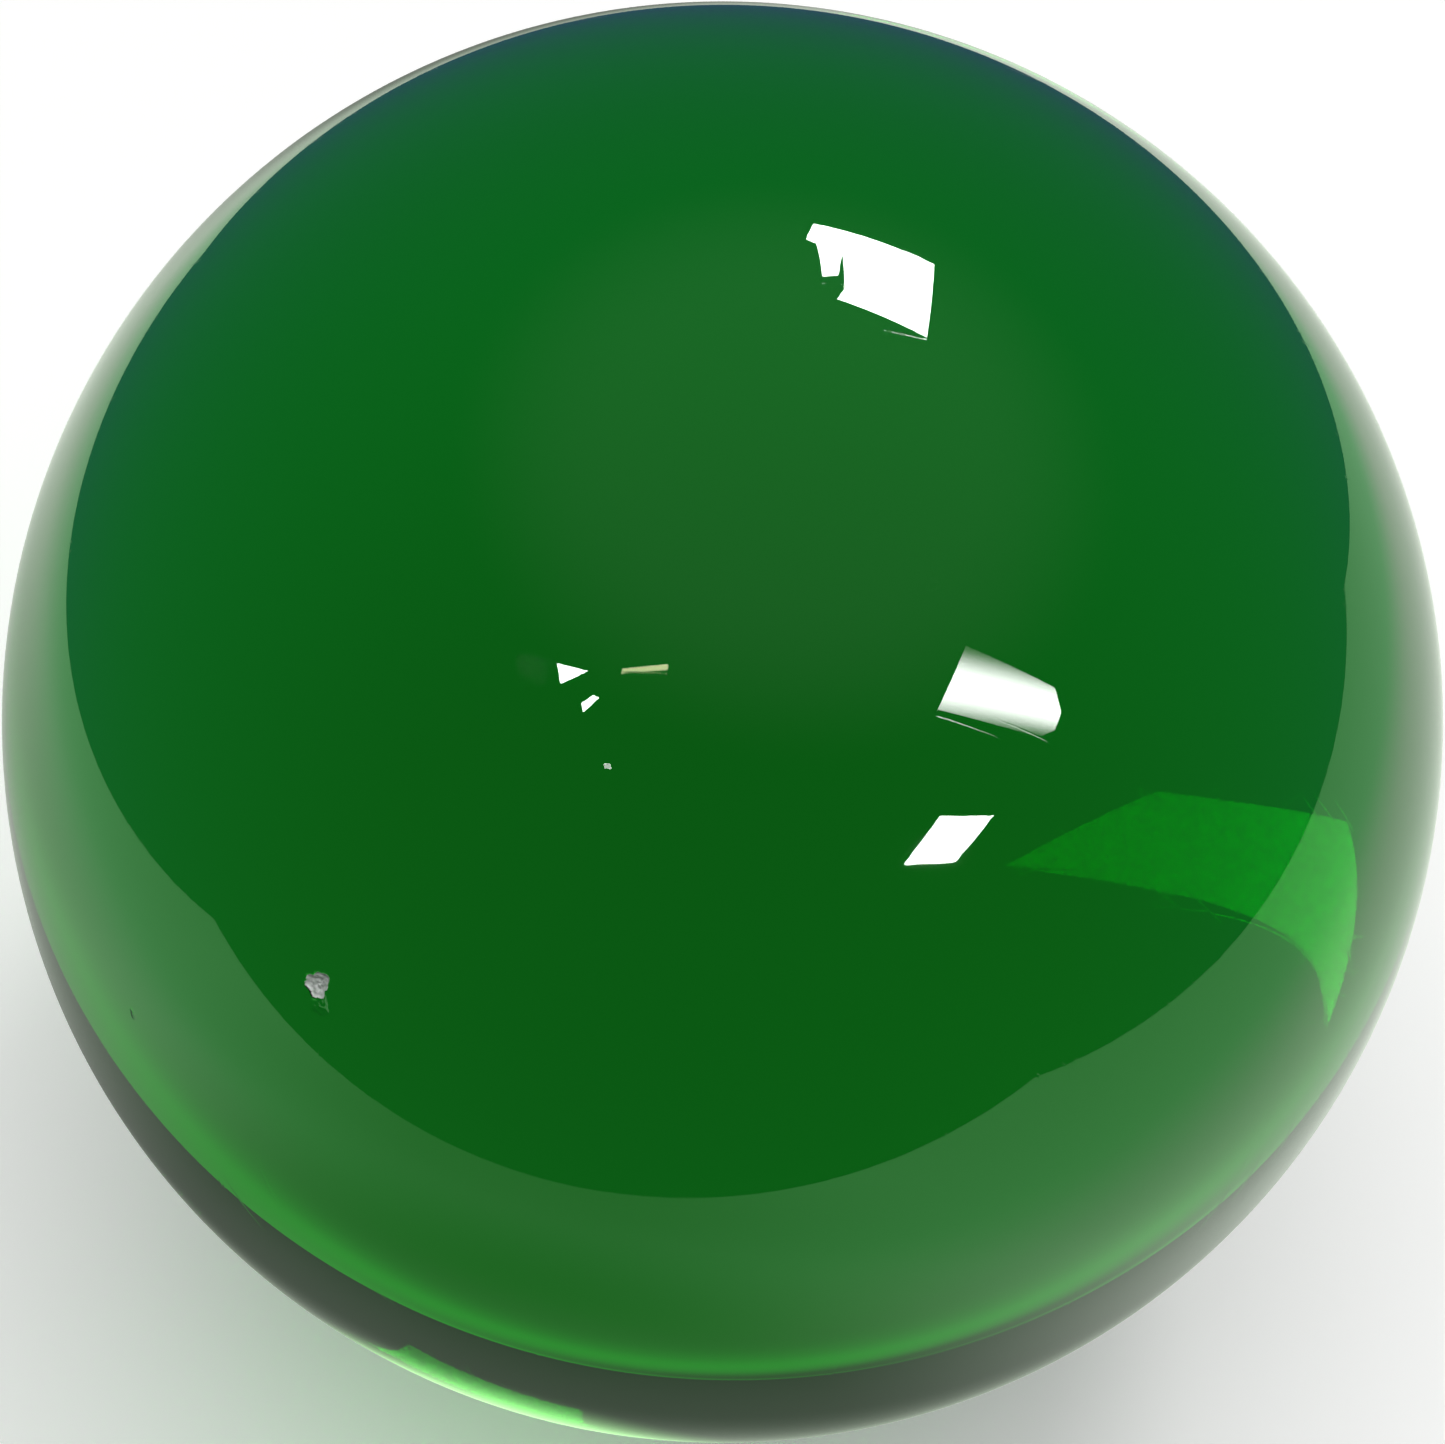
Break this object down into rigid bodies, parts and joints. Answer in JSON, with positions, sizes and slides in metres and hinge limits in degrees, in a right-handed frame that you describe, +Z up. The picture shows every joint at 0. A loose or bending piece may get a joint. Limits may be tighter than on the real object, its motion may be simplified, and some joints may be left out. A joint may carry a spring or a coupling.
{
  "type": "cue ball",
  "caption": "Solid, transparent green resin ball with a polished surface, struck by the cue in pool.",
  "frame": {"origin": "centre of the ball", "axes": "+Z up, away from the table; the ball is round, so X and Y are any two directions along the table"},
  "size_m": [0.0572, 0.0572, 0.0572],
  "materials": {
    "clear_green_resin": "polished"
  },
  "bodies": {
    "root": {"ball": "clear_green_resin"}
  },
  "joints": []
}
